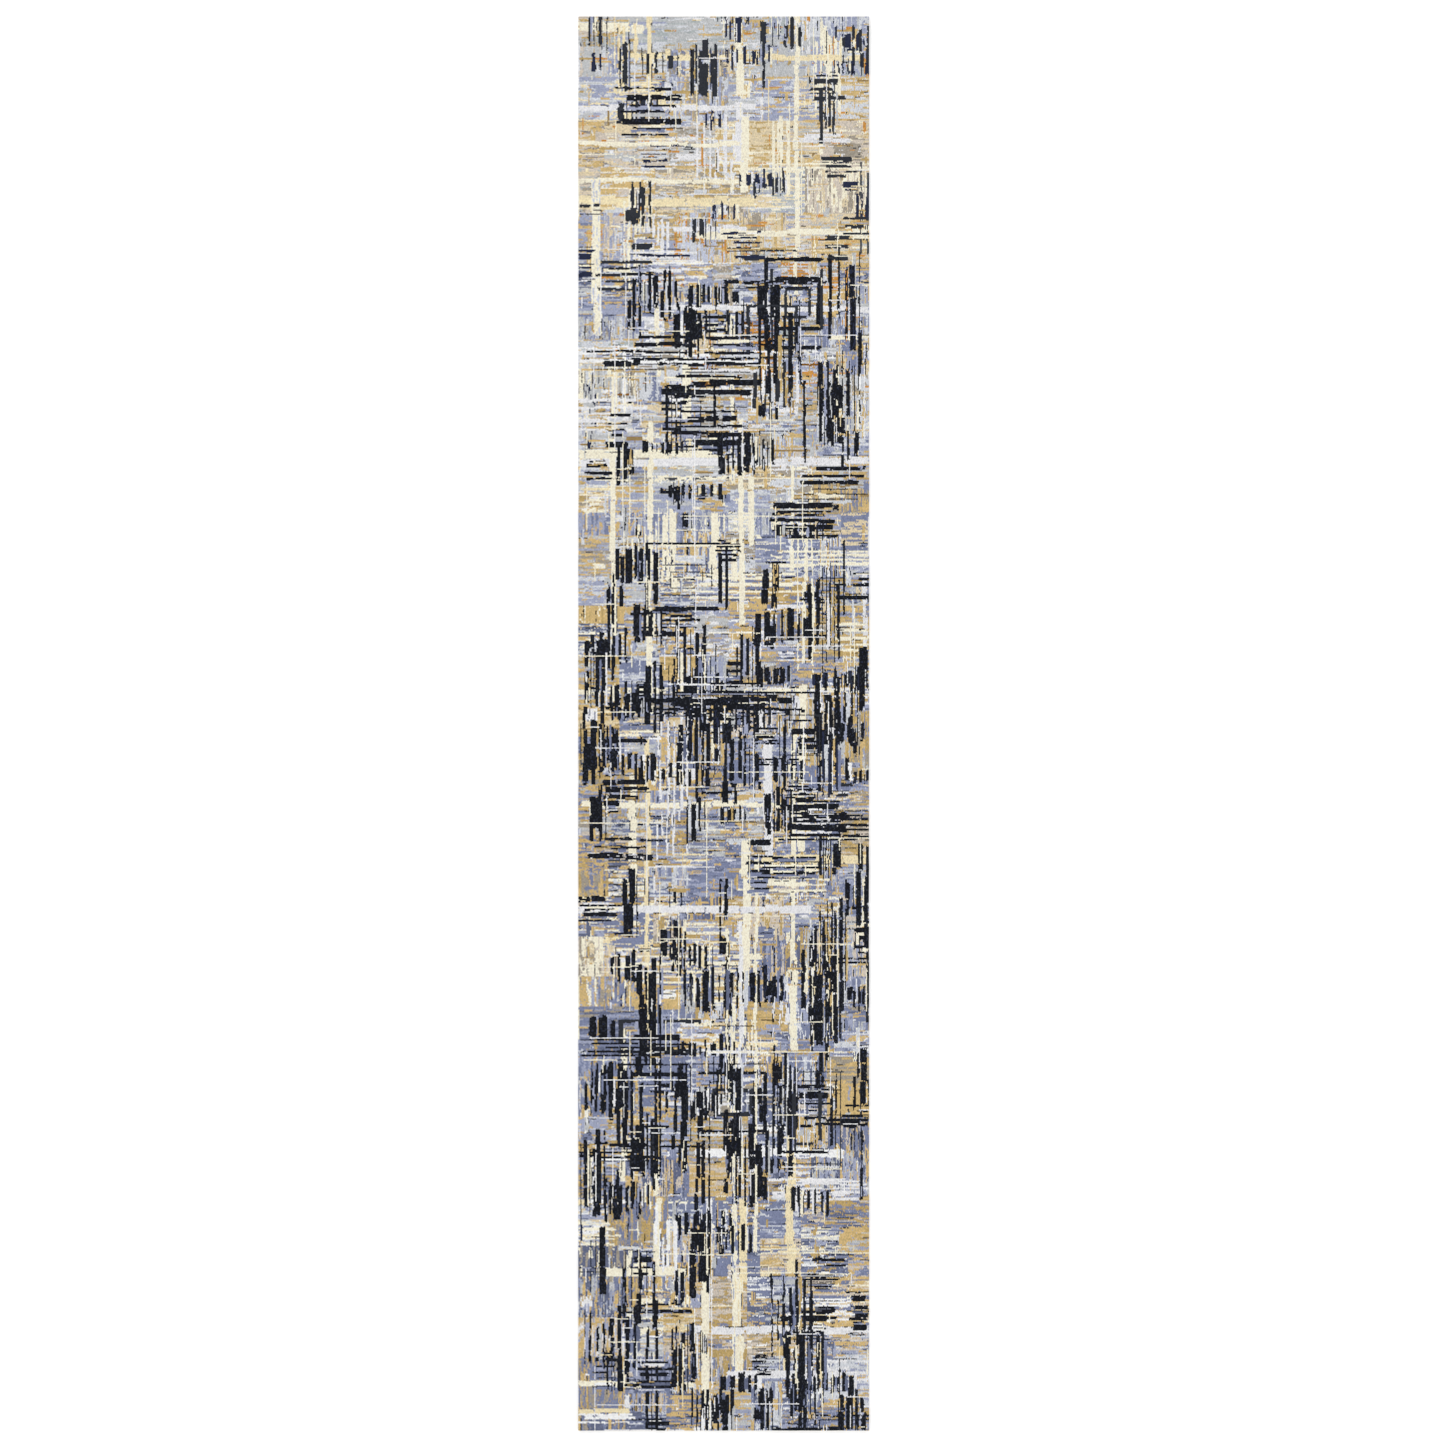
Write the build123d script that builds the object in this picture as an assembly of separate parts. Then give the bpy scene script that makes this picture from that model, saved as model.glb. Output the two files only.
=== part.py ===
from build123d import *
import os

# Hand-knotted runner rug, lying flat, pile up.
# Frame: +Z up, +Y along the rug towards its head end, X across it.
# Origin: centre of the underside, on the floor.
# Millimetres.

# ---- driving dimensions -------------------------------------------------
WIDTH = 762.0            # overall, 2 ft 6 in
LENGTH = 3708.0          # overall, 12 ft 2 in

FOUNDATION_T = 3.0       # cotton warp and weft with the collars of the knots
PILE_H = 7.0             # cut pile above the foundation

KILIM_T = 1.2            # flat-woven end strip
KILIM_FOLD_LEN = 40.0    # how far the strip is turned back under the rug
KILIM_FOLD_R = 0.9       # outside radius of its fold
HEM_FLAT_LEN = 48.0      # length at each end that is lifted by the hem
HEM_RAMP_LEN = 47.0      # length over which the rug comes down to the floor

SELVEDGE_D = 3.0         # overcast cord along each side
SELVEDGE_CORE_D = 1.7    # doubled outer warp inside it
SELVEDGE_GAP = 0.05      # clearance round the core

LOCK_ROW_D = 0.62        # twined cord that locks the last weft of the strip
STITCH_PITCH = 12.0      # hem stitches along each end
STITCH_W = 0.5           # thread thickness
STITCH_LEN = 5.2
STITCH_EDGE = 9.0        # first stitch from the side

# ---- derived ------------------------------------------------------------
HALF_W = WIDTH / 2
HALF_L = LENGTH / 2
END_Y = HALF_L - KILIM_T             # where the foundation stops, inside the fold
RAMP_TOP_Y = HALF_L - HEM_FLAT_LEN
RAMP_FOOT_Y = RAMP_TOP_Y - HEM_RAMP_LEN


def lifted_profile(z_low, z_high, end_y):
    """Side outline (Y, Z) of a layer that rests on the floor along the middle and is lifted by the hem at both ends."""
    low = [
        (-end_y, z_low + KILIM_T),
        (-RAMP_TOP_Y, z_low + KILIM_T),
        (-RAMP_FOOT_Y, z_low),
        (RAMP_FOOT_Y, z_low),
        (RAMP_TOP_Y, z_low + KILIM_T),
        (end_y, z_low + KILIM_T),
    ]
    high = [
        (end_y, z_high + KILIM_T),
        (RAMP_TOP_Y, z_high + KILIM_T),
        (RAMP_FOOT_Y, z_high),
        (-RAMP_FOOT_Y, z_high),
        (-RAMP_TOP_Y, z_high + KILIM_T),
        (-end_y, z_high + KILIM_T),
    ]
    return low + high


def layer(z_low, z_high, end_y, half_x):
    """A layer of the rug: the lifted profile, carried across the width."""
    outline = Polyline(*lifted_profile(z_low, z_high, end_y), close=True)
    face = Plane.YZ * make_face(outline)
    return extrude(face, amount=half_x, both=True)


def edge_cord(radius, x, centre_z):
    """A round cord along one side that follows the lifted profile."""
    route = Polyline(
        (x, -END_Y, centre_z + KILIM_T),
        (x, -RAMP_TOP_Y, centre_z + KILIM_T),
        (x, -RAMP_FOOT_Y, centre_z),
        (x, RAMP_FOOT_Y, centre_z),
        (x, RAMP_TOP_Y, centre_z + KILIM_T),
        (x, END_Y, centre_z + KILIM_T),
    )
    start = Plane(origin=(x, -END_Y, centre_z + KILIM_T), x_dir=(1, 0, 0), z_dir=(0, 1, 0))
    return sweep(start * Circle(radius), path=route, transition=Transition.RIGHT)


def end_kilim(side):
    """Flat-woven end strip, folded round the end of the foundation and back under the rug."""
    pts = [
        (side * (HALF_L - KILIM_FOLD_LEN), 0.0),
        (side * HALF_L, 0.0),
        (side * HALF_L, KILIM_T + FOUNDATION_T),
        (side * END_Y, KILIM_T + FOUNDATION_T),
        (side * END_Y, KILIM_T),
        (side * (HALF_L - KILIM_FOLD_LEN), KILIM_T),
    ]
    face = Plane.YZ * make_face(Polyline(*pts, close=True))
    strip = extrude(face, amount=HALF_W, both=True)
    fold = [
        e
        for e in strip.edges()
        if abs(e.center().Y - side * HALF_L) < 0.01 and abs(e.center().Z) < 0.01
    ]
    return fillet(fold, KILIM_FOLD_R)


def lock_row(side):
    """Twined cord along the raw inner edge of the folded strip, against the back of the rug."""
    r = LOCK_ROW_D / 2
    y = side * (HALF_L - KILIM_FOLD_LEN - r)
    return Pos(0, y, KILIM_T - r) * Rot(0, 90, 0) * Cylinder(r, WIDTH - 2 * SELVEDGE_D)


def hem_stitches(side):
    """Whip stitches that pass under the lock row and hold the folded strip to the back of the rug."""
    made = []
    y_edge = HALF_L - KILIM_FOLD_LEN
    x = -HALF_W + STITCH_EDGE
    while x <= HALF_W - STITCH_EDGE + 0.01:
        run = Pos(x, side * (y_edge - STITCH_LEN / 2), 0.05 + STITCH_W / 2) * Box(
            STITCH_W, STITCH_LEN, STITCH_W
        )
        rise_h = KILIM_T - 0.05
        rise = Pos(
            x, side * (y_edge - STITCH_LEN + STITCH_W / 2), 0.05 + rise_h / 2
        ) * Box(STITCH_W, STITCH_W, rise_h)
        made.append((run + rise).solids()[0])
        x += STITCH_PITCH
    return Compound(children=made)


core_x = HALF_W - SELVEDGE_D / 2
core_r = SELVEDGE_CORE_D / 2

parts = {
    "pile_field": layer(FOUNDATION_T, FOUNDATION_T + PILE_H, HALF_L, HALF_W),
    "foundation_weave": layer(0.0, FOUNDATION_T, END_Y, HALF_W - SELVEDGE_D),
}
for name, side in (("left", -1), ("right", 1)):
    x = side * core_x
    parts[f"selvedge_core_{name}"] = edge_cord(core_r, x, SELVEDGE_D / 2)
    parts[f"selvedge_overcast_{name}"] = edge_cord(
        SELVEDGE_D / 2, x, SELVEDGE_D / 2
    ) - edge_cord(core_r + SELVEDGE_GAP, x, SELVEDGE_D / 2)
for name, side in (("foot", -1), ("head", 1)):
    parts[f"end_kilim_{name}"] = end_kilim(side)
    parts[f"end_lock_row_{name}"] = lock_row(side)
    parts[f"hem_stitches_{name}"] = hem_stitches(side)

os.makedirs("parts", exist_ok=True)
for node, shape in parts.items():
    export_step(shape, f"parts/{node}.step")
    solids = shape.solids()
    print(node, len(solids), "solids,", round(sum(s.volume for s in solids) / 1000, 1), "cm3")
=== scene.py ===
"""Looks of a hand-knotted runner rug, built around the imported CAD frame.

Every knot of the pile is its own domed tuft, grouped into one piece per yarn colour.
The pattern is a generic all-over field of streaks, patches and broken bars, laid out by rule
from the share of each yarn in bands along the rug.
"""
import math

import bpy
import numpy as np
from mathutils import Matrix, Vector


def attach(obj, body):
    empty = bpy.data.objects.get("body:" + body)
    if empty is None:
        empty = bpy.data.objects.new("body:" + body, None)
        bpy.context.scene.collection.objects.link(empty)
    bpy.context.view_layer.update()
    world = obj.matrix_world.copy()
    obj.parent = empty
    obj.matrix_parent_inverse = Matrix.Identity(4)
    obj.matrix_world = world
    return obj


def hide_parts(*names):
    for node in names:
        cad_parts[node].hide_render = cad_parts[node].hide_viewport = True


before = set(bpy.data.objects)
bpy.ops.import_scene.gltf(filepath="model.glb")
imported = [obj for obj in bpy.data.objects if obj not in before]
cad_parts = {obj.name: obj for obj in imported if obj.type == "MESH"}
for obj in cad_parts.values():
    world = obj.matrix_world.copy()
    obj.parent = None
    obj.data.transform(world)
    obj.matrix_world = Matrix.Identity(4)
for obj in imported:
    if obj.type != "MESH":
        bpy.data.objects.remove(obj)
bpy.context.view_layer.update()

# ---------------------------------------------------------------- sizes (metres)
MM = 0.001
WIDTH, LENGTH = 762 * MM, 3708 * MM
HALF_W, HALF_L = WIDTH / 2, LENGTH / 2
COLS, ROWS = 291, 1414
PX, PY = WIDTH / COLS, LENGTH / ROWS
BACK_Z, TOP_Z = 3.0 * MM, 10.0 * MM
RAMP_TOP_Y, RAMP_FOOT_Y = 1806 * MM, 1759 * MM
KILIM_T, KILIM_LEN = 1.2 * MM, 40 * MM
FOUND_HALF_W, FOUND_HALF_L = 378 * MM, 1852.8 * MM


def lift(y):
    """Rise of the rug over the hem that is turned under each end."""
    t = np.clip((np.abs(y) - RAMP_FOOT_Y) / (RAMP_TOP_Y - RAMP_FOOT_Y), 0, 1)
    return KILIM_T * t


# ---------------------------------------------------------------- yarns (sRGB)
YARNS = {
    "K": ("charcoal", (28, 30, 36)),
    "k": ("graphite", (54, 57, 64)),
    "N": ("midnight", (46, 52, 75)),
    "D": ("smoke", (80, 82, 88)),
    "S": ("slate", (101, 105, 118)),
    "B": ("steel_blue", (107, 114, 139)),
    "P": ("periwinkle", (131, 139, 168)),
    "V": ("lavender", (167, 173, 197)),
    "Z": ("ice_blue", (200, 205, 222)),
    "E": ("pearl", (196, 198, 200)),
    "A": ("mist", (181, 188, 190)),
    "L": ("silver", (214, 217, 223)),
    "W": ("bone", (234, 234, 237)),
    "X": ("white", (247, 247, 248)),
    "C": ("cream", (248, 240, 219)),
    "Y": ("butter", (241, 227, 190)),
    "I": ("sand", (225, 210, 179)),
    "T": ("taupe", (168, 160, 147)),
    "R": ("oat", (211, 201, 189)),
    "H": ("mushroom", (150, 145, 143)),
    "O": ("wheat", (211, 185, 132)),
    "G": ("gold", (191, 166, 113)),
    "M": ("bronze", (158, 135, 94)),
    "F": ("amber", (207, 151, 80)),
    "U": ("rust_brown", (140, 98, 50)),
}
CODES = "".join(YARNS)
CODE_OF = {c: i for i, c in enumerate(CODES)}

# ---------------------------------------------------------------- colouring of the field
# A generic all-over field of broken bars. Bands from the head of the rug to its foot: last row of
# knots, how much of the band runs lengthwise, then the share of each yarn in percent.
BANDS = """
60 0.75 E13 C12 L9 T8 W7 K7 V7 A6 O5 Y4 k4 N4 R3 G3 D2 I2 P1 F1 S1
104 0.45 V12 L11 E11 C10 W6 O6 N6 A5 Y5 R5 K5 T4 k3 G2 I2 M2 D1 F1 P1
150 0.35 C18 I18 R10 O7 H7 E7 W6 L6 T4 F3 k3 N2 V2 G2 M1 D1 K1
196 0.50 C17 I10 R9 W9 Y9 O8 E5 V5 L5 T4 K4 N3 G2 A2 D2 H1 k1 F1
246 0.30 R14 C13 K9 V9 O9 I7 W6 F5 T5 L4 G3 E3 Z2 D2 k2 P2 M2 N1 A1
300 0.50 K21 V11 O7 L7 W7 P6 k5 C5 T4 B4 E4 R3 F3 X3 G3 I2 N2 D1 M1
384 0.62 K21 V10 L9 W8 O6 k6 X6 P5 E5 T4 C3 G3 N2 F2 I2 D2 R1 A1 Y1 U1
440 0.60 K19 E11 L11 V10 W8 O7 C6 T6 k5 G4 P3 N2 I1 X1 D1 Y1 R1 M1 A1
496 0.50 C18 E12 K11 V11 O8 L7 T7 G6 P5 I4 W3 k2 N2 D1 Y1 M1 R1
560 0.50 C21 P15 V14 K9 E7 L7 O6 T5 W5 I3 G2 k2 Y1 D1 N1 B1
640 0.45 K18 O11 P11 V10 C9 W8 L6 E5 X4 G4 T3 k3 N2 I2 R1 B1 D1
720 0.62 K33 O10 V9 W7 P6 k6 G5 E4 L3 X3 T3 C3 N3 B1 R1 I1 M1
800 0.62 K31 V9 O8 P8 W7 G7 k5 L4 X4 C3 N3 E3 T2 R2 B1 M1 I1
880 0.45 P16 K13 V10 C8 O7 G7 E6 W5 R5 T4 L4 B4 Y3 k3 I2 D1 N1 X1
960 0.60 C19 P13 K13 V8 O7 G6 W5 R5 B5 T4 Y3 k2 N2 E2 D2 I2 L1 X1 S1
1040 0.55 K23 P11 O9 V8 W7 C7 G5 B4 T4 k4 N4 L3 X3 E2 R2 I1 Y1 D1
1100 0.55 K32 P10 O9 V7 G5 k5 W5 X4 N4 E4 L3 T3 C3 B3 R2
1180 0.55 K26 P11 O10 G8 V7 X5 L5 k5 W4 C4 B4 E3 T3 N2 R2
1260 0.50 P14 K12 C10 V8 O7 B7 R6 W6 G6 X5 Y4 T3 L3 k2 E2 N2 S1 D1 I1
1340 0.50 K14 P10 G9 B8 W7 R7 C7 O7 V6 L4 X4 k3 T3 S2 E2 Y2 N1 D1 I1
1414 0.55 K21 P11 B9 O7 W7 G6 V6 R5 C4 L4 X4 k3 S3 N3 T3 E2 D1 Y1
"""


def knot_grid(seed=3):
    """Yarn of every knot: streaked ground, small patches, long pale bars, dark bars and frames, gold dashes."""
    r = np.random.RandomState(seed)
    g = np.zeros((ROWS, COLS), np.int16)
    bands, last = [], 0
    for line in BANDS.strip().splitlines():
        end, along, *parts = line.split()
        share = np.zeros(len(CODES))
        for p in parts:
            share[CODE_OF[p[0]]] = float(p[1:])
        bands.append((last, int(end), float(along), share / share.sum()))
        last = int(end)

    def busy(y):
        """How often a thin dark line is knotted in: hardly ever near the head, then by zones."""
        return float(np.interp(y, BUSY_Y, BUSY_N))

    def dark():
        return CODE_OF["KKKkN"[r.randint(5)]]

    def streaks(n, l, mix, threads):
        a = np.zeros((n, l), int)
        prev = None
        for i in range(n):
            if prev is not None and r.rand() < 0.42:
                row = np.roll(prev, r.randint(-3, 4))
            else:
                row = np.zeros(l, int)
                p = 0
                base = mix[r.randint(len(mix))]
                while p < l:
                    q = int(2 + r.exponential(8))
                    row[p : p + q] = base if r.rand() < 0.3 else mix[r.randint(len(mix))]
                    p += q
            prev = row
            row = row.copy()
            if r.rand() < threads and l > 6:
                p = r.randint(l)
                row[p : p + int(4 + r.exponential(9))] = dark()
            a[i] = row
        m = r.rand(n, l) < 0.08
        a[m] = np.array(mix)[r.randint(len(mix), size=m.sum())]
        return a

    def put(code, x0, x1, y0, y1):
        if code[0] in "Kk" and 2 <= x1 - x0 < y1 - y0 and y1 - y0 >= 12 and r.rand() < 0.6:
            x0 -= 1
        x0, y0 = max(x0, 0), max(y0, 0)
        x1, y1 = min(x1, COLS), min(y1, ROWS)
        if x1 <= x0 or y1 <= y0:
            return
        w, h = x1 - x0, y1 - y0
        if code[0] in "vh" and len(code) > 1:
            mix = [CODE_OF[c] for c in code[1:]]
            if code[0] == "v":
                g[y0:y1, x0:x1] = streaks(w, h, mix, THREADS * busy(y0)).T
            else:
                g[y0:y1, x0:x1] = streaks(h, w, mix, THREADS * busy(y0))
            return
        mix = [CODE_OF[c] for c in code]
        if code[0] in "GOMF" and w * h >= 12:
            mix += [CODE_OF[c] for c in BREAK_GOLD]
        vert = h >= w
        n, l = (w, h) if vert else (h, w)
        a = np.zeros((n, l), int)
        lead = 0.62 if code[0] in "GOM" else 0.6
        for i in range(n):
            p = 0
            while p < l:
                q = int(2 + r.exponential(4))
                a[i, p : p + q] = (
                    mix[0]
                    if (len(mix) == 1 or r.rand() < lead)
                    else mix[r.randint(len(mix))]
                )
                p += q
        if code[0] == "K":
            m = r.rand(n, l)
            a[(a == CODE_OF["K"]) & (m < 0.13)] = CODE_OF["k"]
            a[(a == CODE_OF["K"]) & (m > 0.955)] = CODE_OF["N"]
        if code[0] not in "KkNDSB" and n >= 3 and l >= 7:
            for e in (0, n - 1):
                if r.rand() < EDGING * busy(y0):
                    p, yarn = r.randint(l // 2), dark()
                    while p < l:
                        q = int(4 + r.exponential(10))
                        a[e, p : p + q] = yarn
                        p += q + int(2 + r.exponential(6))
        mask = np.ones((n, l), bool)
        if n >= 2:
            for e in (0, n - 1):
                p = 0
                while p < l:
                    q = int(2 + r.exponential(6))
                    if r.rand() < (0.10 if code[0] in "KkNB" else 0.24 if n > 2 else 0.13):
                        mask[e, p : p + q] = False
                    p += q
        if l > 4:
            for i in range(n):
                for end in (0, -1):
                    if r.rand() < 0.35:
                        mask[i, end] = False
        if vert:
            a, mask = a.T, mask.T
        sub = g[y0:y1, x0:x1]
        sub[mask] = a[mask]

    def family(share, yarns, keep=0.0):
        """The shares of some yarns, with the others scaled down to keep."""
        out = share * keep
        for c in yarns:
            out[CODE_OF[c]] = share[CODE_OF[c]]
        return out / max(out.sum(), 1e-9)

    def draw(share, n):
        return "".join(CODES[k] for k in r.choice(len(CODES), n, p=share))

    def short(band, yarns):
        """How much of a family a band still lacks, as a share of its knots."""
        y0, y1, _, share = band
        ids = [CODE_OF[c] for c in yarns]
        return share[ids].sum() - np.isin(g[y0:y1], ids).mean()

    def mood(share):
        w = np.array([share[[CODE_OF[c] for c in m]].sum() for m in MOODS]) ** 1.3
        return MOODS[r.choice(len(MOODS), p=w / w.sum())]

    def split(x0, x1, y0, y1):
        w, h = x1 - x0, y1 - y0
        if (w <= 64 and h <= 52 and r.rand() < 0.8) or w < 16 or h < 14:
            return [(x0, x1, y0, y1)]
        if w / 1.25 > h:
            m = x0 + int(w * r.uniform(0.28, 0.72))
            return split(x0, m, y0, y1) + split(m, x1, y0, y1)
        m = y0 + int(h * r.uniform(0.28, 0.72))
        return split(x0, x1, y0, m) + split(x0, x1, m, y1)

    def bars(band, yarns, thick, reach, most, stems):
        """A few parallel bars of one family, their ends uneven."""
        y0, y1, along, share = band
        vert = r.rand() < (along + 0.12 if yarns == DARKS else along)
        lines = 1 + r.randint(most)
        gap = 1 + r.randint(4)
        length = reach[0] + r.exponential(reach[1])
        code = draw(family(share, yarns), 1)
        if code in DARKS and r.rand() < 0.86:
            code = "Nk"[r.randint(2)] if y1 <= 246 else "K"
        own = [CODE_OF[c] for c in (DARKS if code in DARKS else PALES)]
        for _ in range(12):
            if vert:
                at = r.choice(stems) + r.randint(-6, 7) if r.rand() < 0.6 else r.randint(-2, COLS)
                mid = r.randint(y0, y1)
                near = g[max(mid - 22, 0) : mid + 22, max(at - 9, 0) : at + 12]
            else:
                at, mid = r.randint(y0, y1), r.randint(COLS)
                near = g[max(at - 9, 0) : at + 12, max(mid - 22, 0) : mid + 22]
            if np.isin(near, own).mean() < 0.36:
                break
        for _ in range(lines):
            t = int(r.choice(thick))
            a = int(mid - length / 2 + r.normal() * length * 0.12)
            b = int(mid + length / 2 + r.normal() * length * 0.12)
            tail = "" if r.rand() < 0.7 else draw(family(share, yarns, 0.25), 1)
            # a long bar is knotted in lengths that step sideways by a knot
            while a < b:
                c = min(a + int(14 + r.exponential(26)), b)
                off = r.randint(-1, 2) if t > 2 else 0
                if vert:
                    put(code + tail, at + off, at + off + t, a, c)
                else:
                    put(code + tail, a, c, at + off, at + off + t)
                a = c + (r.rand() < 0.2) * r.randint(1, 4)
            # pale yarn between the bars of a close set
            if lines > 3 and code in DARKS and r.rand() < 0.4:
                fill = draw(family(share, PALES + BLUES + "LEG"), 1)
                n, m = int(mid - length * r.uniform(0.2, 0.5)), int(mid + length * r.uniform(0.2, 0.5))
                if vert:
                    put(fill, at + t, at + t + gap, n, m)
                else:
                    put(fill, n, m, at + t, at + t + gap)
            at += t + gap + (r.rand() < 0.25)

    def frame_of_bars(band):
        """Broken rectangles, one inside the other."""
        y0, y1, _, share = band
        cx, cy = r.randint(20, COLS - 20), r.randint(y0, y1)
        w, h = r.randint(14, 44), r.randint(14, 48)
        while w > 5 and h > 5:
            t = int(r.choice([1, 2, 3, 4]))
            code = "K" if r.rand() < 0.8 else "k"
            for sx, sy in ((-1, 0), (1, 0), (0, -1), (0, 1)):
                if r.rand() < 0.3:
                    continue
                if sx:
                    x = cx + sx * w
                    put(code, x, x + t, cy - h, cy + h + r.randint(-6, 7))
                else:
                    y = cy + sy * h
                    put(code, cx - w, cx + w + r.randint(-6, 7), y, y + t)
            w -= t + r.randint(3, 9)
            h -= t + r.randint(3, 9)

    # the ground: small fields of streaks, each leaning to one family of yarns
    for y0, y1, along, share in bands:
        base = share.copy()
        for c in DARKS:
            base[CODE_OF[c]] = 0
        for c in PALES:
            base[CODE_OF[c]] *= 0.25
        base /= base.sum()
        for x0, x1, ya, yb in split(0, COLS, y0, y1):
            yarns = draw(family(base, mood(base), 0.35), 6)
            put(("v" if r.rand() < along * 0.55 else "h") + yarns, x0, x1, ya, yb)
    for band in bands:
        y0, y1, along, share = band
        for _ in range(int((y1 - y0) * COLS / 620)):
            w, h = int(4 + r.exponential(9)), int(2 + r.exponential(4))
            if r.rand() < along:
                w, h = h, w
            x, y = r.randint(-3, COLS - 2), r.randint(y0, y1)
            lead = draw(family(share, mood(share)), 1)
            put(lead + draw(family(share, PALES + BLUES, 0.3), 2), x, x + w, y, y + h)
    for band in bands:
        y0, y1, along, share = band
        for _ in range(4000):
            if short(band, GOLDS) < -0.55 * share[[CODE_OF[c] for c in GOLDS]].sum():
                break
            w, h = int(3 + r.exponential(7)), 1 + (r.rand() < 0.4) + (r.rand() < 0.15)
            if r.rand() < along * 0.5:
                w, h = h, w
            x, y = r.randint(COLS), r.randint(y0, y1)
            if CODES[g[y, x]] not in DARKS:
                g[y : y + h, x : x + w] = CODE_OF[draw(family(share, GOLDS), 1)]
    for band in bands:
        for k in range(400):
            if short(band, PALES) < 0:
                break
            if k % 2 == 0:
                bars(band, "CY" if r.rand() < 0.75 else "WX", (4, 5, 6, 8, 9), (60, 90), 1, PALE_STEMS)
            else:
                bars(band, PALES, (1, 2, 2, 3, 3, 4), (25, 50), 6, PALE_STEMS)
    for band in bands:
        for k in range(900):
            lack = short(band, DARKS)
            if lack < -0.04 * band[3][[CODE_OF[c] for c in DARKS]].sum():
                break
            if band[3][[CODE_OF[c] for c in DARKS]].sum() > 0.24 and k % 17 == 0 and lack > 0.03:
                frame_of_bars(band)
            else:
                bars(band, DARKS, (1, 1, 2, 2, 2, 3, 3, 4, 6), (12, 26), 8, STEMS)
    for band in bands:
        y0, y1, along, share = band
        for _ in range(int((y1 - y0) * COLS * LINES)):
            n = int(8 + r.exponential(22))
            x, y = r.randint(COLS), r.randint(y0, y1)
            yarn = CODE_OF[draw(family(share, PALES), 1)]
            if r.rand() < along:
                g[y : y + n, x] = yarn
            else:
                g[y, x : x + n] = yarn

    # Hand knotting wanders: the edge of a bar steps by a knot here and there.
    def wander(shape, across, along, amp):
        small = r.normal(size=(shape[0] // along[0] + 3, shape[1] // along[1] + 3))
        yy = np.arange(shape[0])[:, None] / along[0]
        xx = np.arange(shape[1])[None, :] / along[1]
        y0, x0 = yy.astype(int), xx.astype(int)
        fy, fx = yy - y0, xx - x0
        fy, fx = fy * fy * (3 - 2 * fy), fx * fx * (3 - 2 * fx)
        return amp * (
            small[y0, x0] * (1 - fy) * (1 - fx)
            + small[y0 + 1, x0] * fy * (1 - fx)
            + small[y0, x0 + 1] * (1 - fy) * fx
            + small[y0 + 1, x0 + 1] * fy * fx
        )

    jj, ii = np.mgrid[0:ROWS, 0:COLS]
    dx = wander(g.shape, 0, (8, 5), 0.30)
    dy = wander(g.shape, 0, (5, 8), 0.30)
    hop = r.rand(ROWS, COLS)
    dx = np.rint(dx).astype(int) + (hop < 0.022) - (hop > 0.978)
    hop = r.rand(ROWS, COLS)
    dy = np.rint(dy).astype(int) + (hop < 0.022) - (hop > 0.978)
    return g[np.clip(jj + dy, 0, ROWS - 1), np.clip(ii + dx, 0, COLS - 1)]


PER_PX = 2.6228 * MM     # plan scale of the view
WORLD, KEY, FILL = 0.945, 71.5, 39.0
BREAK_GOLD = "CEVTRO"
DARKS, PALES, BLUES, GOLDS = "KkNDS", "CYWX", "VPBZ", "OGMFU"
MOODS = ("VPBZL", "VPBEL", "OGTIR", "CYIRO", "WXLEV", "EATLH")
STEMS, PALE_STEMS = (8, 26, 49, 97, 118, 141, 181, 236, 262, 280), (74, 158, 214)
THREADS, EDGING, LINES = 0.10, 0.16, 0.0012
BUSY_Y = (0, 100, 240, 252, 384, 396, 494, 504, 1414)
BUSY_N = (0.5, 0.3, 0.0, 1.0, 1.0, 0.2, 0.2, 1.0, 1.0)
GRID = knot_grid()

# ---------------------------------------------------------------- mesh helpers


def make_object(name, co, loops, sizes, uv=None, smooth=True):
    me = bpy.data.meshes.new(name)
    co = np.asarray(co, np.float32)
    loops = np.asarray(loops, np.int32).ravel()
    sizes = np.asarray(sizes, np.int32)
    starts = np.concatenate([[0], np.cumsum(sizes)[:-1]]).astype(np.int32)
    me.vertices.add(len(co))
    me.vertices.foreach_set("co", co.ravel())
    me.loops.add(len(loops))
    me.loops.foreach_set("vertex_index", loops)
    me.polygons.add(len(sizes))
    me.polygons.foreach_set("loop_start", starts)
    me.polygons.foreach_set("use_smooth", np.full(len(sizes), smooth, bool))
    if uv is not None:
        layer = me.uv_layers.new(name="OFBake")
        layer.uv.foreach_set("vector", np.asarray(uv, np.float32).ravel())
    me.update(calc_edges=True)
    me.validate()
    ob = bpy.data.objects.new(name, me)
    bpy.context.scene.collection.objects.link(ob)
    return ob


def grid_faces(n, m, wrap_m=False):
    """Quads of an n by m grid of points, row by row; wrap_m closes each row into a ring."""
    cols = m if wrap_m else m - 1
    i, j = np.mgrid[0 : n - 1, 0:cols]
    k = (j + 1) % m
    return np.stack(
        [i * m + j, i * m + k, (i + 1) * m + k, (i + 1) * m + j], -1
    ).reshape(-1, 4)


def flat_uv(co, rows_up):
    """UV of a long flat piece: the rug's plan folded into two strips, one per half of the length."""
    u = (co[..., 0] + HALF_W) / WIDTH * 0.47 + 0.015 + 0.5 * rows_up
    v = np.abs(co[..., 1]) / HALF_L * 0.97 + 0.015
    return np.stack([u, np.clip(v, 0, 1)], -1)


# ---------------------------------------------------------------- materials


def srgb(c):
    out = []
    for v in c:
        v = v / 255
        out.append(v / 12.92 if v <= 0.04045 else ((v + 0.055) / 1.055) ** 2.4)
    return out


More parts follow.
